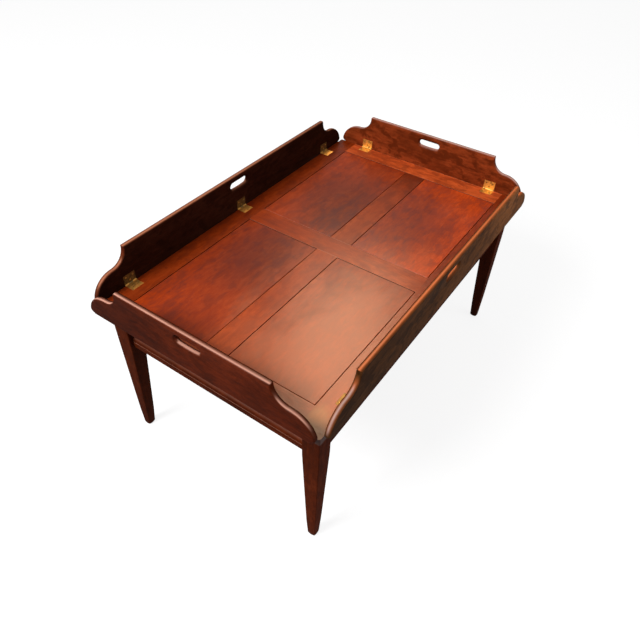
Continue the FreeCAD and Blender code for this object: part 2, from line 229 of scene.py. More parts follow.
class Nodes:
    """A node tree under construction, with short calls that add and join its nodes."""

    def __init__(self, tree: bpy.types.NodeTree) -> None:
        """Start with a tree.

        Args:
            tree: The node tree.
        """
        self.tree = tree

    def node(self, kind: str, inputs: dict | None = None, **settings: object) -> bpy.types.Node:
        """Add a node.

        Args:
            kind: The node's type name.
            inputs: Values or sockets for its inputs, by name or number.
            **settings: Its own properties.

        Returns:
            The new node.
        """
        made = self.tree.nodes.new(kind)
        for key, value in settings.items():
            setattr(made, key, value)
        for key, value in (inputs or {}).items():
            if isinstance(value, bpy.types.NodeSocket):
                self.tree.links.new(value, made.inputs[key])
            else:
                made.inputs[key].default_value = value
        return made

    def maths(self, first: Socket | float, second: Socket | float, operation: str = "ADD") -> Socket:
        """Combine two values by an arithmetic operation.

        Args:
            first: A value or socket.
            second: A value or socket.
            operation: The operation's name.

        Returns:
            The result.
        """
        return self.node("ShaderNodeMath", {0: first, 1: second}, operation=operation).outputs[0]

    def times(self, first: Socket | float, second: Socket | float) -> Socket:
        """Multiply two values."""
        return self.maths(first, second, "MULTIPLY")

    def size(self, value: Socket) -> Socket:
        """Give a value without its sign."""
        return self.maths(value, 0.0, "ABSOLUTE")

    def vectors(self, operation: str, *inputs: Socket | Triple) -> bpy.types.bpy_prop_collection:
        """Combine vectors by an operation.

        Args:
            operation: The operation's name.
            *inputs: Vectors or sockets.

        Returns:
            The outputs, of which the first is a vector.
        """
        return self.node("ShaderNodeVectorMath", dict(enumerate(inputs)), operation=operation).outputs

    def parts(self, vector: Socket) -> bpy.types.bpy_prop_collection:
        """Give the X, Y and Z of a vector."""
        return self.node("ShaderNodeSeparateXYZ", {0: vector}).outputs

    def span(self, value: Socket, fade: Fade) -> Socket:
        """Stretch part of a value's range over another range, with the ends held.

        Args:
            value: The value.
            fade: The two ranges.

        Returns:
            The new value.
        """
        inputs = {
            "Value": value, "From Min": fade.low, "From Max": fade.high,
            "To Min": fade.to_low, "To Max": fade.to_high,
        }
        return self.node("ShaderNodeMapRange", inputs, interpolation_type="SMOOTHSTEP").outputs["Result"]


class Sketch(Nodes):
    """A material under construction."""

    def __init__(self, name: str) -> None:
        """Start an empty node tree.

        Args:
            name: The material's name.
        """
        self.material = bpy.data.materials.new(name)
        self.material.use_nodes = True
        super().__init__(self.material.node_tree)
        self.tree.nodes.clear()

    def place(self, turn: Triple, shift: Triple) -> Socket:
        """Give the piece's own coordinates, turned and shifted.

        Args:
            turn: Rotation in radians.
            shift: Offset in metres.

        Returns:
            The vector socket.
        """
        own = self.node("ShaderNodeTexCoord").outputs["Object"]
        inputs = {"Vector": own, "Rotation": turn, "Location": shift}
        return self.node("ShaderNodeMapping", inputs).outputs["Vector"]

    def noise(self, vector: Socket, layer: NoiseLayer) -> Socket:
        """Add a cloudy pattern.

        Args:
            vector: Where it is read.
            layer: The pattern.

        Returns:
            A value from 0 to 1.
        """
        inputs = {
            "Vector": self.vectors("MULTIPLY", vector, layer.stretch)[0], "Scale": layer.scale,
            "Detail": layer.detail, "Roughness": layer.rough, "Distortion": layer.warp,
        }
        return self.node("ShaderNodeTexNoise", inputs).outputs["Fac"]

    def blend(self, factor: Socket | float, first: Socket | Colour, second: Socket | Colour,
              mode: Blend = Blend.MIX) -> Socket:
        """Lay one colour over another.

        Args:
            factor: How much of the second.
            first: A colour or socket.
            second: A colour or socket.
            mode: The way it is laid.

        Returns:
            The new colour.
        """
        made = self.node("ShaderNodeMix", data_type="RGBA", blend_type=mode.value)
        for index, value in zip(MIX_INPUTS, (factor, first, second)):
            if isinstance(value, bpy.types.NodeSocket):
                self.tree.links.new(value, made.inputs[index])
            else:
                made.inputs[index].default_value = (*value, 1.0) if index else value
        return made.outputs[MIX_RESULT]

    def edge(self, radius: float, axes: Triple = (1.0, 1.0, 1.0)) -> Socket:
        """Find how near a point lies to an edge.

        Args:
            radius: How far from the edge it looks.
            axes: 1 for each axis along which a turn of the surface counts.

        Returns:
            A mask from 0 to 1.
        """
        rounded = self.node("ShaderNodeBevel", {"Radius": radius}, samples=EDGE_SAMPLES).outputs["Normal"]
        plain = self.node("ShaderNodeNewGeometry").outputs["Normal"]
        turn = self.vectors("MULTIPLY", self.vectors("SUBTRACT", rounded, plain)[0], axes)[0]
        return self.span(self.vectors("LENGTH", turn)["Value"], EDGE_FADE)

    def bump(self, height: Socket, relief: Relief, normal: Socket | None = None) -> Socket:
        """Make a pattern stand out of the surface.

        Args:
            height: The pattern.
            relief: How strongly it stands out.
            normal: The surface it is laid on, if that has a relief already.

        Returns:
            The new normal.
        """
        inputs = {"Height": height, "Strength": relief.strength, "Distance": relief.depth}
        if normal is not None:
            inputs["Normal"] = normal
        return self.node("ShaderNodeBump", inputs).outputs["Normal"]

    def surface(self, **inputs: object) -> bpy.types.Material:
        """Close the material with its surface shader.

        Args:
            **inputs: The shader's inputs, with underscores for spaces.

        Returns:
            The material.
        """
        named = {key.replace("_", " "): value for key, value in inputs.items()}
        shader = self.node("ShaderNodeBsdfPrincipled", named)
        self.node("ShaderNodeOutputMaterial", {"Surface": shader.outputs[0]})
        return self.material


class Shaping(Nodes):
    """A geometry node group under construction, which a modifier runs on a piece."""

    def __init__(self, name: str) -> None:
        """Start a group that passes its geometry on.

        Args:
            name: The group's name.
        """
        super().__init__(bpy.data.node_groups.new(name, "GeometryNodeTree"))
        for way in ("INPUT", "OUTPUT"):
            self.tree.interface.new_socket("Geometry", in_out=way, socket_type="NodeSocketGeometry")
        self.geometry = self.node("NodeGroupInput").outputs[0]

    def step(self, kind: str, inputs: dict | None = None, **settings: object) -> None:
        """Pass the geometry through a node.

        Args:
            kind: The node's type name.
            inputs: Values or sockets for its other inputs.
            **settings: Its own properties.
        """
        self.geometry = self.node(kind, {0: self.geometry, **(inputs or {})}, **settings).outputs[0]

    def position(self) -> Socket:
        """Give where a point lies."""
        return self.node("GeometryNodeInputPosition").outputs[0]

    def turn(self) -> Socket:
        """Give the angle by which the surface turns at an edge."""
        return self.node("GeometryNodeInputMeshEdgeAngle").outputs["Unsigned Angle"]

    def close(self) -> bpy.types.NodeTree:
        """Join the geometry to the group's output.

        Returns:
            The finished group.
        """
        self.node("NodeGroupOutput", {0: self.geometry})
        return self.tree


@dataclass(frozen=True)
class WoodFinish:
    """A stained and varnished wood.

    Attributes:
        name: The finish's name.
        light: Colour of the lightest figure.
        middle: Colour between the lightest and the darkest.
        dark: Colour of the darkest figure.
        worn_and_highlight: Colour where the stain has come off by use, and of the painted highlights on edges
            and rims.
        smear: Strength of broad dark clouds.
        mottle: Strength of small dark specks.
        roughness: Roughness of the wood.
        coat: Weight of the varnish.
        coat_roughness: Roughness of the varnish.
        specular: Gloss of the wood below the varnish.
        wear_and_highlight: Strength of the lighter colour at edges, from use, and on the rails mostly a
            painted highlight.
        wear_and_highlight_reach: How far that lighter colour reaches from an edge.
        wear_and_highlight_axes: 1 for each axis along which a turn of the surface counts as an edge.
        rim: Strength of the colour painted as light on surfaces that face up.
        rim_colour: The colour painted as light on the rims, if it isn't the one of the lighter edges and
            highlights.
        rim_start: The upward part of a surface's direction at which the rim starts.
        rim_line: Strength of the painted highlight line along the rim.
        rim_places: Where that painted highlight and the painted shade of the rim's inner side lie.
        lobe_highlight: Colour of the painted highlight line on the near lobe, if that differs.
        under: Strength of the shade on surfaces that face down.
        inside_shade_tint: Tint of the side that faces the tray: painted shade on the back flap, and on the
            front flap it takes the painted olive reflection back off that side.
        side_shade_tint: Tint of upright surfaces, which paints shade on them.
        painted_sheen: Strength of the painted sheen on the top.
        stain: A spot below the painted sheen: a stain on the panels, painted shade at the near stile's
            corner, and a darker patch on the front and left flaps.
        patch: A spot above it.
    """

    name: str
    light: Colour
    middle: Colour
    dark: Colour
    worn_and_highlight: Colour
    smear: float
    mottle: float
    roughness: float
    coat: float
    coat_roughness: float
    specular: float = 0.0
    wear_and_highlight: float = 0.5
    wear_and_highlight_reach: float = 1.6 * MM
    wear_and_highlight_axes: Triple = (1.0, 1.0, 1.0)
    rim: float = 0.0
    rim_colour: Colour | None = None
    rim_start: float = 0.15
    rim_line: float = 0.0
    rim_places: RimPlaces | None = None
    lobe_highlight: Colour | None = None
    under: float = 0.0
    inside_shade_tint: Colour | None = None
    side_shade_tint: Colour | None = None
    painted_sheen: float = 0.0
    stain: Spot | None = None
    patch: Spot | None = None

    def toned(self, name: str, share: float) -> "WoodFinish":
        """Make a lighter or darker board of the same wood.

        Args:
            name: The new finish's name.
            share: What its colours are multiplied by.

        Returns:
            The new finish.
        """
        shades = {
            key: tuple(share * part for part in getattr(self, key)) for key in ("light", "middle", "dark")
        }
        return replace(self, name=name, **shades)

    def spotted(self, sketch: Sketch, colour: Socket, cloud: Socket) -> Socket:
        """Change the finish round its spots, one of which is the painted sheen.

        Args:
            sketch: The material under construction.
            colour: The colour so far.
            cloud: A cloudy pattern that breaks up the spots.

        Returns:
            The new colour.
        """
        own = sketch.node("ShaderNodeTexCoord").outputs["Object"]
        for spot in (self.stain, replace(PAINTED_SHEEN, strength=self.painted_sheen), self.patch):
            if spot is None or not spot.strength:
                continue
            away = sketch.vectors("SUBTRACT", own, spot.place)[0]
            away = sketch.vectors("MULTIPLY", away, SPOT_STRETCH)[0]
            play = RAGGED_SHARE * spot.reach
            ragged = sketch.span(cloud, RAGGED_FADE.to(-play, play))
            ragged = sketch.maths(sketch.vectors("LENGTH", away)["Value"], ragged)
            near = sketch.span(ragged, Fade(SPOT_CORE * spot.reach, spot.reach, spot.strength, 0.0))
            colour = sketch.blend(near, colour, spot.tint, spot.blend)
        return colour

    def rubbed_and_highlighted(self, sketch: Sketch, colour: Socket, cloud: Socket) -> Socket:
        """Lighten the edges, where hands have taken off the stain, and paint a highlight along those of the
        rails.

        Args:
            sketch: The material under construction.
            colour: The colour so far.
            cloud: A cloudy pattern that breaks up the lighter edges.

        Returns:
            The new colour.
        """
        patchy = sketch.span(cloud, WEAR_AND_HIGHLIGHT_FADE.to(LEAST_WEAR_AND_HIGHLIGHT * self.wear_and_highlight, self.wear_and_highlight))
        edge = sketch.edge(self.wear_and_highlight_reach, self.wear_and_highlight_axes)
        return sketch.blend(sketch.times(edge, patchy), colour, self.worn_and_highlight)

    def rimmed(self, sketch: Sketch, colour: Socket, cloud: Socket, grain: Grain) -> Socket:
        """Paint light on the rims that face up and shade on their inner side and on the under side, and tint
        the side that faces the tray.

        Args:
            sketch: The material under construction.
            colour: The colour so far.
            cloud: A cloudy pattern that breaks up the painted highlight.
            grain: The way the board runs.

        Returns:
            The new colour.
        """
        coordinates = sketch.node("ShaderNodeTexCoord").outputs
        normal = sketch.parts(coordinates["Normal"])
        across = normal[grain.across]
        upward = sketch.span(normal["Z"], Fade(self.rim_start, self.rim_start + RIM_TURN))
        facing = sketch.times(upward, sketch.span(cloud, PATCHY_RIM_FADE))
        # The side that faces the tray gets a tint: painted shade on the back flap, and on the front flap the
        # painted olive reflection taken back off.
        if self.inside_shade_tint is not None:
            inside = sketch.span(sketch.times(across, self.rim_places.inward), INSIDE_FADE)
            colour = sketch.blend(inside, colour, self.inside_shade_tint, Blend.MULTIPLY)
        broad = sketch.span(sketch.size(across), BROAD_RIM_FADE.to(self.rim, SIDE_RIM * self.rim))
        colour = sketch.blend(sketch.times(broad, facing), colour, self.rim_colour or self.worn_and_highlight)
        shade = tuple(SHADE_SHARE * part for part in self.dark)
        if self.rim_places is not None:
            own = sketch.parts(coordinates["Object"])
            inner = Fade(self.rim_places.shade_from, self.rim_places.shade_to, 0.0, INNER_SHADE)
            inner = sketch.span(own[grain.across], inner)
            colour = sketch.blend(sketch.times(inner, upward), colour, shade)
            colour = self.lined(sketch, colour, own["X"], own[grain.across], normal["Z"], facing)
        return sketch.blend(sketch.span(normal["Z"], UNDER_FADE.to(0.0, self.under)), colour, shade)

    def lined(self, sketch: Sketch, colour: Socket, along: Socket, across: Socket, upright: Socket,
              facing: Socket) -> Socket:
        """Draw the painted highlight line along the rim.

        Args:
            sketch: The material under construction.
            colour: The colour so far.
            along: Where a point lies along X.
            across: Where it lies across the board.
            upright: The upward part of the surface's direction.
            facing: A mask of the surfaces that face up.

        Returns:
            The new colour.
        """
        outer = sketch.span(across, Fade(self.rim_places.outer, self.rim_places.line))
        inner = sketch.span(across, Fade(self.rim_places.inner, self.rim_places.line))
        line = sketch.maths(sketch.times(outer, inner), LINE_POWER, "POWER")
        line = sketch.times(line, self.rim_line)
        level = sketch.span(upright, LINE_LEVEL_FADE)
        worn_and_highlight = self.worn_and_highlight
        if self.lobe_highlight is not None:
            lobe = sketch.span(along, LOBE_FADE)
            level = sketch.maths(level, lobe, "MAXIMUM")
            worn_and_highlight = sketch.blend(lobe, worn_and_highlight, self.lobe_highlight)
        return sketch.blend(sketch.times(line, sketch.times(facing, level)), colour, worn_and_highlight)

    def material(self, grain: Grain, board: int) -> bpy.types.Material:
        """Make the finish for a board.

        Args:
            grain: The way the grain runs.
            board: A number that gives the board a figure of its own.

        Returns:
            The material.
        """
        sketch = Sketch(f"{self.name}_{grain.name.lower()}_{board}")
        place = sketch.place(grain.value, tuple(step * board for step in BOARD_STEP))
        layers = (BAND, FIBRE, FLECK, CLOUD, MOTTLE, PORE)
        band, fibre, fleck, cloud, mottle, pore = (sketch.noise(place, layer) for layer in layers)
        figure = sketch.maths(sketch.times(band, BAND_SHARE), sketch.times(fibre, FIBRE_SHARE))
        figure = sketch.maths(figure, sketch.times(fleck, FLECK_SHARE))
        colour = sketch.blend(sketch.span(figure, MIDDLE_FADE), self.dark, self.middle)
        colour = sketch.blend(sketch.span(figure, LIGHT_FADE), colour, self.light)
        smears = sketch.span(cloud, SMEAR_FADE)
        specks = sketch.span(mottle, SPECK_FADE)
        pores = sketch.span(pore, PORE_FADE)
        for mask, share in ((smears, self.smear), (specks, self.mottle), (pores, PORE_SHARE)):
            colour = sketch.blend(sketch.times(mask, share), colour, self.dark)
        colour = self.spotted(sketch, colour, cloud)
        # Upright surfaces are darkened by a tint: painted shade.
        if self.side_shade_tint is not None:
            normal = sketch.node("ShaderNodeTexCoord").outputs["Normal"]
            side = sketch.span(sketch.size(sketch.parts(normal)["Z"]), SIDE_FADE)
            colour = sketch.blend(side, colour, self.side_shade_tint, Blend.MULTIPLY)
        colour = self.rubbed_and_highlighted(sketch, colour, cloud)
        if self.rim:
            colour = self.rimmed(sketch, colour, cloud, grain)
        dull = sketch.maths(sketch.span(cloud, DULL_FADE), self.roughness)
        dull = sketch.maths(dull, sketch.span(fibre, FIBRE_DULL_FADE))
        height = sketch.maths(fibre, sketch.times(pores, PORE_DEPTH), "SUBTRACT")
        relief = sketch.bump(height, GRAIN_RELIEF)
        return sketch.surface(
            Base_Color=colour,
            Roughness=dull,
            Normal=relief,
            Coat_Normal=sketch.bump(fleck, VARNISH_RELIEF, relief),
            Specular_IOR_Level=self.specular,
            Coat_Weight=self.coat,
            Coat_Roughness=self.coat_roughness,
        )


@dataclass(frozen=True)
class BrassFinish:
    """Old brass that is dull and darkened in patches."""

    name: str
    bright: Colour
    tarnish: Colour
    roughness: float

    def material(self) -> bpy.types.Material:
        """Make the finish.

        Returns:
            The material.
        """
        sketch = Sketch(self.name)
        place = sketch.place((0.0, 0.0, 0.0), (0.0, 0.0, 0.0))
        scratch = sketch.noise(place, SCRATCH)
        stain = sketch.span(sketch.noise(place, TARNISH), TARNISH_FADE)
        colour = sketch.blend(stain, self.bright, self.tarnish)
        colour = sketch.blend(sketch.times(sketch.edge(BRASS_EDGE), BRASS_RUB), colour, self.bright)
        dull = sketch.maths(sketch.times(stain, TARNISH_DULL), self.roughness)
        dull = sketch.maths(dull, sketch.span(scratch, SCRATCH_FADE))
        relief = sketch.bump(scratch, SCRATCH_RELIEF)
        return sketch.surface(Base_Color=colour, Roughness=dull, Normal=relief, Metallic=1.0)


# The panels, frame and muntins each carry a share of the painted sheen on the top.
PANEL = WoodFinish(
    name="panel_wood", light=(0.42, 0.050, 0.007), middle=(0.33, 0.034, 0.004), dark=(0.18, 0.024, 0.009),
    worn_and_highlight=(0.46, 0.09, 0.02), smear=0.5, mottle=0.5, roughness=0.40, coat=0.16, coat_roughness=0.24, painted_sheen=0.5,
)
PANEL_TONES = {"front_left": 1.0, "front_right": 1.78, "back_left": 1.1, "back_right": 1.15}
PANEL_STAIN = Spot((0.22, -0.07, TOP), 0.21, 0.75, (0.36, 0.42, 1.0))
PANEL_STAINS = {
    "front_right": PANEL_STAIN,
    "back_left": replace(PANEL_STAIN, place=(-0.13, 0.13, TOP)),
    "back_right": replace(PANEL_STAIN, place=(0.20, 0.11, TOP)),
}
# The frame's tint of upright surfaces paints shade on them.
FRAME = WoodFinish(
    name="frame_wood", light=(0.42, 0.054, 0.007), middle=(0.32, 0.036, 0.004), dark=(0.19, 0.024, 0.006),
    worn_and_highlight=(0.48, 0.10, 0.025), smear=0.35, mottle=0.5, roughness=0.40, coat=0.16, coat_roughness=0.24,
    side_shade_tint=(0.26, 0.34, 0.60), painted_sheen=0.45,
)
MUNTIN = replace(FRAME, name="muntin_wood", painted_sheen=0.25)
# At the near stile's corner the dark spot is painted shade where the two flaps' lobes meet, and the other
# spot is an orange patch on its top.
NEAR_STILE = replace(
    FRAME, name="near_stile_wood", wear_and_highlight=0.05,
    stain=Spot((-0.498, -0.302, TOP - 8.0 * MM), 0.045, 1.0, (0.03, 0.04, 0.1)),
    patch=Spot((-0.458, -0.268, TOP), 0.030, 0.35, (0.78, 0.34, 0.11), Blend.MIX),
)
# On the rails the lighter edges that run across the tray are mostly a painted highlight along the grooves.
RAIL = replace(
    FRAME, name="rail_wood", worn_and_highlight=(0.58, 0.25, 0.16),
    wear_and_highlight=0.7, wear_and_highlight_reach=3.0 * MM, wear_and_highlight_axes=(1.0, 0.0, 0.0),
)
# The end rails take a lighter copy of the rail wood, which paints light on them.
LIT_END_RAIL = replace(
    RAIL, name="lit_end_rail_wood", light=(0.78, 0.130, 0.028), middle=(0.60, 0.088, 0.018),
    dark=(0.35, 0.052, 0.013), mottle=0.7,
)
# Flap rims carry painted light on their upward faces, a painted highlight line, and painted shade on their
# inner side and underside.
FLAP = WoodFinish(
    name="flap_wood", light=(0.130, 0.019, 0.005), middle=(0.090, 0.0125, 0.003), dark=(0.045, 0.007, 0.002),
    worn_and_highlight=(0.74, 0.37, 0.27), smear=0.6, mottle=0.5, roughness=0.36, coat=0.05, coat_roughness=0.24,
    wear_and_highlight=0.1, rim=0.5, rim_colour=(0.120, 0.028, 0.010), rim_line=0.9, under=0.9,
)
FLAPS = {
    # The front flap's olive colours are a painted reflection on its outer face; its spot makes it darker
    # towards its near end.
    "front": replace(
        FLAP, name="front_flap_wood", light=(0.420, 0.144, 0.037), middle=(0.288, 0.100, 0.026),
        dark=(0.144, 0.049, 0.013), worn_and_highlight=(0.92, 0.215, 0.065), lobe_highlight=(0.56, 0.37, 0.32), mottle=0.8,
        rim=0.85, rim_colour=(0.30, 0.075, 0.022), rim_line=0.85, inside_shade_tint=(0.70, 0.30, 0.30),
        stain=Spot((-0.36, -0.3166, 0.486), 0.72, 0.9, (0.175, 0.175, 0.17)),
    ),
    # The back flap's inside tint paints shade on it.
    "back": replace(
        FLAP, name="back_flap_wood", worn_and_highlight=(0.56, 0.21, 0.11), rim_line=0.8, inside_shade_tint=(0.36, 0.72, 1.40),
    ),
    # The left flap's spot makes its outer face darker towards its back end.
    "left": replace(
        FLAP, name="left_flap_wood", stain=Spot((-0.513, 0.30, 0.47), 0.32, 0.7, (0.30, 0.34, 0.40)),
    ),
    "right": replace(
        FLAP, name="right_flap_wood", light=(0.360, 0.064, 0.016), middle=(0.255, 0.042, 0.010),
        dark=(0.115, 0.018, 0.004), worn_and_highlight=(0.66, 0.36, 0.29), smear=0.5, mottle=0.9,
    ),
}

# Millimetres from the middle of a flap's thickness towards the tray: where the painted highlight line of its
# rim ends on the inner side, is palest and ends on the outer side, and where the painted shade of its inner
# side starts and is full.
RIM_STEPS = {
    "front": (5.5, 0.5, -6.2, 4.0, 6.2),
    "back": (7.5, 2.0, -8.0, 8.0, 9.0),
    "left": (5.0, -3.4, -6.3, 3.5, 6.0),
    "right": (9.0, 2.0, -8.0, 8.0, 9.0),
}
BASE = WoodFinish(
    name="base_wood", light=(0.125, 0.021, 0.005), middle=(0.085, 0.013, 0.003), dark=(0.040, 0.007, 0.002),
    worn_and_highlight=(0.18, 0.04, 0.014), smear=0.5, mottle=0.3, roughness=0.38, coat=0.03, coat_roughness=0.26,
)
# The bead's upper round carries painted light, and its under side painted shade.
BEAD = replace(
    BASE, name="bead_wood", worn_and_highlight=(0.34, 0.14, 0.09), wear_and_highlight=0.2, rim=0.6, rim_start=0.4, under=0.5,
)
HIDDEN = WoodFinish(
    name="hidden_wood", light=(0.46, 0.29, 0.15), middle=(0.38, 0.22, 0.11), dark=(0.24, 0.13, 0.06),
    worn_and_highlight=(0.50, 0.33, 0.18), smear=0.25, mottle=0.2, roughness=0.7, coat=0.0, coat_roughness=0.4,
    specular=0.3,
)
BRASS = BrassFinish(name="old_brass", bright=(0.66, 0.36, 0.09), tarnish=(0.26, 0.13, 0.035), roughness=0.5)
# Lighter and darker copies of the brass: painted light on the right flap's leaves, painted shade on the back
# leaves, and a dimmed brass that paints shade on the front tray leaves.
LIT_BRASS = replace(BRASS, name="lit_brass", bright=(0.84, 0.47, 0.12))
SHADED_BROWN_BRASS = replace(BRASS, name="shaded_brown_brass", bright=(0.46, 0.23, 0.055), tarnish=(0.20, 0.10, 0.03))
DIMMED_BRASS = BrassFinish(
    name="dimmed_brass", bright=(0.30, 0.17, 0.055), tarnish=(0.16, 0.09, 0.03), roughness=0.7,
)
SHADED_BRASS = BrassFinish(
    name="shaded_brass", bright=(0.16, 0.095, 0.03), tarnish=(0.07, 0.042, 0.015), roughness=0.55,
)
SCREW_BRASS = BrassFinish(
    name="screw_brass", bright=(0.42, 0.24, 0.06), tarnish=(0.12, 0.07, 0.02), roughness=0.4,
)


@dataclass(frozen=True)
class EdgeBand:
    """Edges within a range of distances from a plane, with the share of the full rounding that they get."""

    low: float
    high: float
    share: float


def dress(names: list[str], material: bpy.types.Material) -> None:
    """Give a finish to loaded pieces.

    Args:
        names: The pieces' names.
        material: The finish.
    """
    for name in names:
        slots = frame["nodes"][name].data.materials
        slots.clear()
        slots.append(material)
        LOG.info("dressed %s with %s", name, material.name)


def shading_group() -> bpy.types.NodeTree:
    """Make the node group that shades faces smooth, except at edges that turn too far.

    Returns:
        The geometry node group.
    """
    shaping = Shaping("smooth_by_turn")
    sharp = shaping.maths(shaping.turn(), SMOOTH_TURN, "GREATER_THAN")
    shaping.step("GeometryNodeSetShadeSmooth")
    shaping.step("GeometryNodeSetShadeSmooth", {"Selection": sharp, "Shade Smooth": False}, domain="EDGE")
    return shaping.close()


def marking_group(centre: Vector, axis: Vector, bands: tuple[EdgeBand, ...],
                  floor: float) -> bpy.types.NodeTree:
    """Make the node group that marks the edges to be rounded.

    Args:
        centre: A point of the plane from which distances are measured.
        axis: The plane's direction.
        bands: The bands of edges.
        floor: The height above which edges are marked.

    Returns:
        The geometry node group.
    """
    shaping = Shaping("marked_edges")
    position = shaping.position()
    offset = shaping.vectors("SUBTRACT", position, centre)[0]
    distance = shaping.size(shaping.vectors("DOT_PRODUCT", offset, axis)["Value"])
    above = shaping.maths(shaping.parts(position)["Z"], floor, "GREATER_THAN")
    chosen = shaping.times(shaping.maths(shaping.turn(), MARKED_TURN, "GREATER_THAN"), above)
    total = 0.0
    for band in bands:
        past = shaping.maths(distance, band.low, "GREATER_THAN")
        inside = shaping.times(past, shaping.maths(distance, band.high, "LESS_THAN"))
        total = shaping.maths(shaping.times(inside, band.share), total)
    weights = {"Name": "bevel_weight_edge", "Value": shaping.times(chosen, total)}
    shaping.step("GeometryNodeStoreNamedAttribute", weights, data_type="FLOAT", domain="EDGE")
    return shaping.close()


def lowered_foot_group(floor: float, drop: float) -> bpy.types.NodeTree:
    """Make the node group that lets a flap's foot down a little, so that no light shows under it.

    Args:
        floor: The height below which points belong to the foot.
        drop: How far the foot is let down.

    Returns:
        The geometry node group.
    """
    shaping = Shaping("lowered_foot")
    low = shaping.maths(shaping.parts(shaping.position())["Z"], floor, "LESS_THAN")
    shaping.step("GeometryNodeSetPosition", {"Selection": low, "Offset": (0.0, 0.0, -drop)})
    return shaping.close()


def round_foot_group(centre: Vector, top: float, at_floor: float, at_top: float) -> bpy.types.NodeTree:
    """Make the node group that rounds the plan of a leg's square foot.

    Args:
        centre: The middle of the foot.
        top: The height below which points belong to the foot.
        at_floor: How round its plan is at the floor, from 0 for a square to 1 for a circle.
        at_top: How round it is at the top.

    Returns:
        The geometry node group.
    """
    shaping = Shaping("round_foot")
    shaping.step("GeometryNodeSubdivideMesh", {"Level": FOOT_CUTS})
    place = shaping.parts(shaping.position())
    along = shaping.maths(place["X"], centre.x, "SUBTRACT")
    across = shaping.maths(place["Y"], centre.y, "SUBTRACT")
    half = shaping.maths(shaping.size(along), shaping.size(across), "MAXIMUM")
    squares = shaping.maths(shaping.times(along, along), shaping.times(across, across))
    radius = shaping.maths(squares, 0.5, "POWER")
    excess = shaping.maths(shaping.maths(half, radius, "DIVIDE"), 1.0, "SUBTRACT")
    draw = shaping.times(excess, shaping.span(place["Z"], Fade(0.0, top, at_floor, at_top)))
    pull = {"X": shaping.times(along, draw), "Y": shaping.times(across, draw)}
    moved = {
        "Selection": shaping.maths(place["Z"], top, "LESS_THAN"),
        "Offset": shaping.node("ShaderNodeCombineXYZ", pull).outputs[0],
    }
    shaping.step("GeometryNodeSetPosition", moved)
    return shaping.close()


def ease(name: str, width: float, marking: bpy.types.NodeTree, *groups: bpy.types.NodeTree) -> None:
    """Round the edges of a loaded piece by modifiers.

    Args:
        name: The piece's name.
        width: The full width of the rounding.
        marking: The node group that marks the edges.
        *groups: The node groups that follow, such as the one for the shading.
    """
    modifiers = frame["nodes"][name].modifiers
    modifiers.new("merged_corners", "WELD").merge_threshold = WELD_REACH
    modifiers.new("marked_edges", "NODES").node_group = marking
    bevel = modifiers.new("eased_edges", "BEVEL")
    bevel.width = width
    bevel.segments = EDGE_STEPS
    bevel.profile = ROUND_PROFILE
    bevel.limit_method = "WEIGHT"
    bevel.use_clamp_overlap = False
    for group in groups:
        modifiers.new(group.name, "NODES").node_group = group


@dataclass
class Tray:
    """The tray: a frame with four panels, and battens below."""

    # The back stile's tone darkens it: painted shade beside the back flap.
    back_stile_shade: float = 0.74
    left_muntin_tone: float = 1.15
    right_muntin_tone: float = 0.9
    cross_rail_tone: float = 1.1

    def dress(self) -> None:
        """Give the tray's pieces their finishes."""
        for board, corner in enumerate(CORNERS, BOARDS["panel"]):
            finish = PANEL.toned("panel_wood", PANEL_TONES[corner])
            finish = replace(finish, stain=PANEL_STAINS.get(corner))
            dress([f"panel_{corner}"], finish.material(Grain.ALONG, board))
        back_stile = FRAME.toned("back_stile_wood", self.back_stile_shade)
        left_muntin = MUNTIN.toned("left_muntin_wood", self.left_muntin_tone)
        right_muntin = MUNTIN.toned("right_muntin_wood", self.right_muntin_tone)
        cross_rail = RAIL.toned("cross_rail_wood", self.cross_rail_tone)
        dress(["stile_front"], NEAR_STILE.material(Grain.ALONG, BOARDS["stile"]))
        dress(["stile_back"], back_stile.material(Grain.ALONG, BOARDS["stile"]))
        dress(["muntin_left"], left_muntin.material(Grain.ALONG, BOARDS["muntin"]))
        dress(["muntin_right"], right_muntin.material(Grain.ALONG, BOARDS["muntin"]))
        dress(["end_rail_left", "end_rail_right"], LIT_END_RAIL.material(Grain.ACROSS, BOARDS["end_rail"]))
        dress(["cross_rail"], cross_rail.material(Grain.ACROSS, BOARDS["cross_rail"]))
        dress(["batten_left", "batten_right"], HIDDEN.material(Grain.ACROSS, BOARDS["batten"]))


@dataclass
class Flaps:
    """The four flaps round the tray.

    The bands are distances from the middle of a board: its faces, where the bevels start, its rim, where
    they end, and the neck of the hand hole.
    """

    edge_width: float = 2.4 * MM
    square_foot: float = 1.0 * MM
    foot_drop: float = 0.15 * MM
    bands: tuple[EdgeBand, ...] = (
        EdgeBand(6.2 * MM, 6.7 * MM, 0.22),
        EdgeBand(4.1 * MM, 4.5 * MM, 1.0),
        EdgeBand(1.0 * MM, 1.6 * MM, 0.35),
    )

    def dress(self, shading: bpy.types.NodeTree) -> None:
        """Give the flaps their finishes and round their edges.

        Args:
            shading: The node group for the shading.
        """
        for board, side in enumerate(SIDES, BOARDS["flap"]):
            name = f"flap_{side}"
            grain, axis = Grain.ACROSS, Vector((1, 0, 0))
            if side in LONG_SIDES:
                grain, axis = Grain.ALONG, Vector((0, 1, 0))
            low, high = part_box(f"flap_{side}")
            middle = axis.dot(low + high) / 2
            inward = -math.copysign(1.0, middle)
            places = RimPlaces(inward, *(middle + inward * step * MM for step in RIM_STEPS[side]))
            dress([name], replace(FLAPS[side], rim_places=places).material(grain, board))
            floor = low.z + self.square_foot
            lowered = frame["nodes"][name].modifiers.new("lowered_foot", "NODES")
            lowered.node_group = lowered_foot_group(floor, self.foot_drop)
            ease(name, self.edge_width, marking_group((low + high) / 2, axis, self.bands, floor), shading)


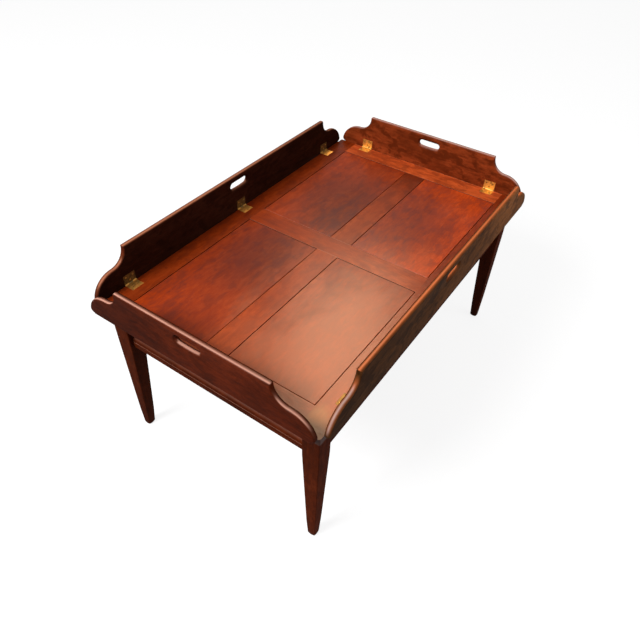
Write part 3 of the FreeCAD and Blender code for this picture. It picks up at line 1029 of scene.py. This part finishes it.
@dataclass
class Base:
    """The base: legs, aprons, bead mouldings and corner blocks.

    The band takes in all edges of a leg.
    """

    edge_width: float = 0.6 * MM
    bands: tuple[EdgeBand, ...] = (EdgeBand(-1.0 * MM, 1.0, 1.0),)
    below_floor: float = -1.0
    foot_top: float = 5.6 * MM
    foot_round: tuple[float, float] = (0.9, 0.4)

    def rounded_foot(self, name: str) -> bpy.types.NodeTree:
        """Make the node group that rounds a leg's foot.

        Args:
            name: The leg's name.

        Returns:
            The geometry node group.
        """
        points = [vertex.co for vertex in frame["nodes"][name].data.vertices if vertex.co.z < self.foot_top]
        along = [point.x for point in points]
        across = [point.y for point in points]
        centre = Vector((min(along) + max(along), min(across) + max(across), 0.0)) / 2
        return round_foot_group(centre, self.foot_top, *self.foot_round)

    def dress(self, shading: bpy.types.NodeTree) -> None:
        """Give the base's pieces their finishes, and ease the legs' edges and round their feet.

        Args:
            shading: The node group for the shading.
        """
        legs = [f"leg_{corner}" for corner in CORNERS]
        blocks = [f"corner_block_{corner}" for corner in CORNERS]
        dress(legs, BASE.material(Grain.UPRIGHT, BOARDS["leg"]))
        dress(["apron_front", "apron_back"], BASE.material(Grain.ALONG, BOARDS["long_apron"]))
        dress(["apron_left", "apron_right"], BASE.material(Grain.ACROSS, BOARDS["short_apron"]))
        dress(["bead_front", "bead_back"], BEAD.material(Grain.ALONG, BOARDS["long_bead"]))
        dress(["bead_left", "bead_right"], BEAD.material(Grain.ACROSS, BOARDS["short_bead"]))
        dress(blocks, HIDDEN.material(Grain.UPRIGHT, BOARDS["corner_block"]))
        marking = marking_group(Vector(), Vector((0, 0, 1)), self.bands, self.below_floor)
        for name in legs:
            ease(name, self.edge_width, marking, self.rounded_foot(name), shading)


@dataclass
class Hinges:
    """The leaves of the hinges: tarnished brass, with lighter and darker copies that paint light and shade
    onto some of them.
    """

    lit_and_shaded_leaves: tuple[tuple[str, BrassFinish], ...] = (
        ("flap_leaf_right", LIT_BRASS), ("flap_leaf_back", SHADED_BRASS),
        ("tray_leaf_back", SHADED_BROWN_BRASS), ("tray_leaf_front", DIMMED_BRASS),
    )

    def dress(self) -> None:
        """Give the leaves their finishes."""
        finishes = dict(self.lit_and_shaded_leaves)
        for kind in ("tray_leaf", "flap_leaf"):
            for side in SIDES:
                finish = finishes.get(f"{kind}_{side}", BRASS)
                leaves = [f"{kind}_{side}_{number}" for number in range(1, HINGES[side] + 1)]
                dress(leaves, finish.material())


@dataclass
class HingeScrews:
    """Slotted screws in the leaves of the hinges."""

    head_radius: float = 2.5 * MM
    head_sides: int = 20
    head_rise: float = 0.34 * MM
    slot_width: float = 0.6 * MM
    slot_floor: float = 0.08 * MM
    slot_turn: float = 0.9
    rim: float = 0.16 * MM
    rim_steps: int = 2
    level_from: float = 0.5
    merge_reach: float = 0.001 * MM
    spread: float = 10.0 * MM
    near: float = 9.0 * MM
    far: float = 19.0 * MM

    def head(self, turn: float) -> bpy.types.Mesh:
        """Build one screw head, standing on the XY plane.

        Args:
            turn: How the slot is turned.

        Returns:
            The mesh.
        """
        shape = bmesh.new()
        bmesh.ops.create_circle(shape, cap_ends=True, segments=self.head_sides, radius=self.head_radius)
        bmesh.ops.translate(shape, verts=shape.verts, vec=(0, 0, self.slot_floor))
        for sign in (-1, 1):
            bmesh.ops.bisect_plane(
                shape, geom=[*shape.verts, *shape.edges, *shape.faces],
                plane_co=(0, sign * self.slot_width / 2, 0), plane_no=(0, 1, 0),
            )
        skirt = bmesh.ops.extrude_edge_only(shape, edges=[edge for edge in shape.edges if edge.is_boundary])
        low = [item for item in skirt["geom"] if isinstance(item, bmesh.types.BMVert)]
        bmesh.ops.translate(shape, verts=low, vec=(0, 0, -self.slot_floor))
        cheeks = [
            face for face in shape.faces
            if abs(face.normal.z) > self.level_from
            and abs(face.calc_center_median().y) > self.slot_width / 2
        ]
        for cheek in cheeks:
            raised = bmesh.ops.extrude_face_region(shape, geom=[cheek])
            top = [item for item in raised["geom"] if isinstance(item, bmesh.types.BMVert)]
            bmesh.ops.translate(shape, verts=top, vec=(0, 0, self.head_rise))
            bmesh.ops.delete(shape, geom=[cheek], context="FACES_ONLY")
        bmesh.ops.remove_doubles(shape, verts=shape.verts, dist=self.merge_reach)
        crown = self.slot_floor + self.head_rise
        rims = [
            edge for edge in shape.edges
            if all(vert.co.z > crown - self.slot_floor / 2 for vert in edge.verts) and not edge.is_boundary
        ]
        bmesh.ops.bevel(
            shape, geom=rims, offset=self.rim, offset_type="OFFSET", segments=self.rim_steps,
            profile=ROUND_PROFILE, affect="EDGES", material=-1,
        )
        bmesh.ops.holes_fill(shape, edges=[edge for edge in shape.edges if edge.is_boundary], sides=0)
        bmesh.ops.recalc_face_normals(shape, faces=shape.faces)
        bmesh.ops.rotate(shape, verts=shape.verts, matrix=Matrix.Rotation(turn, 3, "Z"))
        mesh = bpy.data.meshes.new("screw_head")
        shape.to_mesh(mesh)
        shape.free()
        return mesh

    def spots(self, low: Vector, high: Vector, side: str, upright: bool) -> list[Matrix]:
        """Find where the screws of a leaf stand.

        Args:
            low: Lowest corner of the leaf.
            high: Highest corner of the leaf.
            side: The side of the tray.
            upright: Whether the leaf stands on a flap.

        Returns:
            A placing matrix for each screw.
        """
        turns = {"front": math.pi, "back": 0.0, "left": math.pi / 2, "right": -math.pi / 2}
        joints = {joint["name"]: joint for joint in frame["joints"]}
        hinge = Vector(joints[f"{side}_flap_fold"]["pos_m"])
        middle = (low + high) / 2
        if side in LONG_SIDES:
            hinge.x = middle.x
        else:
            hinge.y = middle.y
        turned = Matrix.Rotation(turns[side], 4, "Z")
        tilt = Matrix.Rotation(math.pi / 2, 4, "X") if upright else Matrix.Identity(4)
        placed = []
        for across, away in ((-self.spread, self.far), (self.spread, self.far), (0.0, self.near)):
            spot = Vector((across, 0, away)) if upright else Vector((across, -away, 0))
            placed.append(Matrix.Translation(hinge) @ turned @ Matrix.Translation(spot) @ tilt)
        return placed

    def build(self) -> None:
        """Build the screws of each body as one piece."""
        finish = SCREW_BRASS.material()
        jobs = [("tray", "tray_leaf", SIDES, False)]
        jobs += [(f"{side}_flap", "flap_leaf", (side,), True) for side in SIDES]
        for body, leaf, sides, upright in jobs:
            shape = bmesh.new()
            count = 0
            for side in sides:
                for number in range(1, HINGES[side] + 1):
                    low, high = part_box(f"{leaf}_{side}_{number}")
                    for spot in self.spots(low, high, side, upright):
                        mesh = self.head(self.slot_turn * count)
                        mesh.transform(spot)
                        shape.from_mesh(mesh)
                        bpy.data.meshes.remove(mesh)
                        count += 1
            mesh = bpy.data.meshes.new(f"{body}_hinge_screws")
            shape.to_mesh(mesh)
            shape.free()
            mesh.materials.append(finish)
            piece = bpy.data.objects.new(f"{body}_hinge_screws", mesh)
            bpy.context.scene.collection.objects.link(piece)
            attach(piece, body)
            LOG.info("built %s with %d screws", piece.name, count)


@dataclass(frozen=True)
class Lamp:
    """A soft lamp that faces the middle of the table's top."""

    name: str
    spot: Triple
    size: tuple[float, float]
    power: float
    colour: Colour = (1.0, 1.0, 1.0)
    gloss_only: bool = False
    aim: Triple = (0.0, 0.0, 0.44)

    def hang(self) -> None:
        """Hang the lamp in the scene."""
        data = bpy.data.lights.new(self.name, "AREA")
        data.shape = "RECTANGLE"
        data.size, data.size_y = self.size
        data.energy = self.power
        data.color = self.colour
        lamp = bpy.data.objects.new(self.name, data)
        lamp.location = self.spot
        lamp.rotation_euler = (Vector(self.aim) - Vector(self.spot)).to_track_quat("-Z", "Y").to_euler()
        lamp.visible_diffuse = not self.gloss_only
        bpy.context.scene.collection.objects.link(lamp)


@dataclass
class Studio:
    """The floor, the light and the camera."""

    floor_size: float = 14.0
    floor_grey: float = 0.27
    floor_glow: float = 0.85
    ambient: float = 0.30
    lamps: tuple[Lamp, ...] = (
        Lamp("key", (-2.6, 1.0, 3.0), (1.6, 1.6), 140.0),
        Lamp("fill", (0.8, -3.2, 1.1), (2.4, 1.6), 24.0),
        Lamp("sheen", (2.28, 1.26, 3.80), (1.0, 2.0), 232.0, (1.0, 0.76, 0.5), True),
    )
    sensor: float = 36.0
    lens: float = 32.64
    clip: tuple[float, float] = (0.01, 100.0)
    eye: Triple = (-1.00733, -0.62597, 1.3194)
    right: Triple = (0.56883957, -0.82202933, 0.02625515)
    down: Triple = (-0.55975575, -0.41034179, -0.71992577)
    ahead: Triple = (0.60257368, 0.39482579, -0.69355429)

    def shown(self, nodes: Nodes) -> Socket:
        """Tell apart the rays that show the background from those that light the object.

        Args:
            nodes: The node tree.

        Returns:
            1 for rays that show the background and 0 for the rest.
        """
        path = nodes.node("ShaderNodeLightPath").outputs
        straight = nodes.maths(path["Is Camera Ray"], path["Is Glossy Ray"], "MAXIMUM")
        return nodes.maths(straight, path["Is Transmission Ray"], "MAXIMUM")

    def floor(self) -> None:
        """Lay the pale floor, which keeps the shadow."""
        shape = bmesh.new()
        bmesh.ops.create_grid(shape, x_segments=1, y_segments=1, size=self.floor_size)
        mesh = bpy.data.meshes.new("floor")
        shape.to_mesh(mesh)
        shape.free()
        sketch = Sketch("pale_floor")
        grey = (self.floor_grey, self.floor_grey, self.floor_grey, 1.0)
        matt = sketch.node("ShaderNodeBsdfDiffuse", {"Color": grey})
        level = sketch.times(self.shown(sketch), self.floor_glow)
        glow = sketch.node("ShaderNodeEmission", {"Strength": level})
        both = sketch.node("ShaderNodeAddShader", {0: matt.outputs[0], 1: glow.outputs[0]})
        sketch.node("ShaderNodeOutputMaterial", {"Surface": both.outputs[0]})
        mesh.materials.append(sketch.material)
        floor = bpy.data.objects.new("floor", mesh)
        bpy.context.scene.collection.objects.link(floor)

    def world(self) -> None:
        """Make the surroundings white to look at and a soft light on the object."""
        world = bpy.data.worlds.new("studio")
        bpy.context.scene.world = world
        world.use_nodes = True
        nodes = Nodes(world.node_tree)
        nodes.tree.nodes.clear()
        levels = {"Value": self.shown(nodes), "To Min": self.ambient, "To Max": 1.0}
        level = nodes.node("ShaderNodeMapRange", levels).outputs["Result"]
        background = nodes.node("ShaderNodeBackground", {"Strength": level, "Color": (1.0, 1.0, 1.0, 1.0)})
        nodes.node("ShaderNodeOutputWorld", {"Surface": background.outputs[0]})

    def camera(self) -> None:
        """Set up the camera at the photograph's angle."""
        data = bpy.data.cameras.new("camera")
        data.sensor_width = self.sensor
        data.lens = self.lens
        data.clip_start, data.clip_end = self.clip
        turn = Matrix((Vector(self.right), -Vector(self.down), -Vector(self.ahead))).transposed()
        camera = bpy.data.objects.new("camera", data)
        camera.matrix_world = Matrix.Translation(self.eye) @ turn.to_4x4()
        bpy.context.scene.collection.objects.link(camera)
        bpy.context.scene.camera = camera

    def build(self) -> None:
        """Set up the studio."""
        bpy.context.scene.view_settings.view_transform = "Standard"
        self.floor()
        self.world()
        for lamp in self.lamps:
            lamp.hang()
        self.camera()


def main() -> None:
    """Dress the loaded table, add the small pieces and set up the studio."""
    logging.basicConfig(level=logging.INFO, format="%(name)s: %(message)s")
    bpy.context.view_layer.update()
    shading = shading_group()
    Tray().dress()
    Flaps().dress(shading)
    Base().dress(shading)
    Hinges().dress()
    HingeScrews().build()
    Studio().build()


if __name__ == "__main__":
    main()
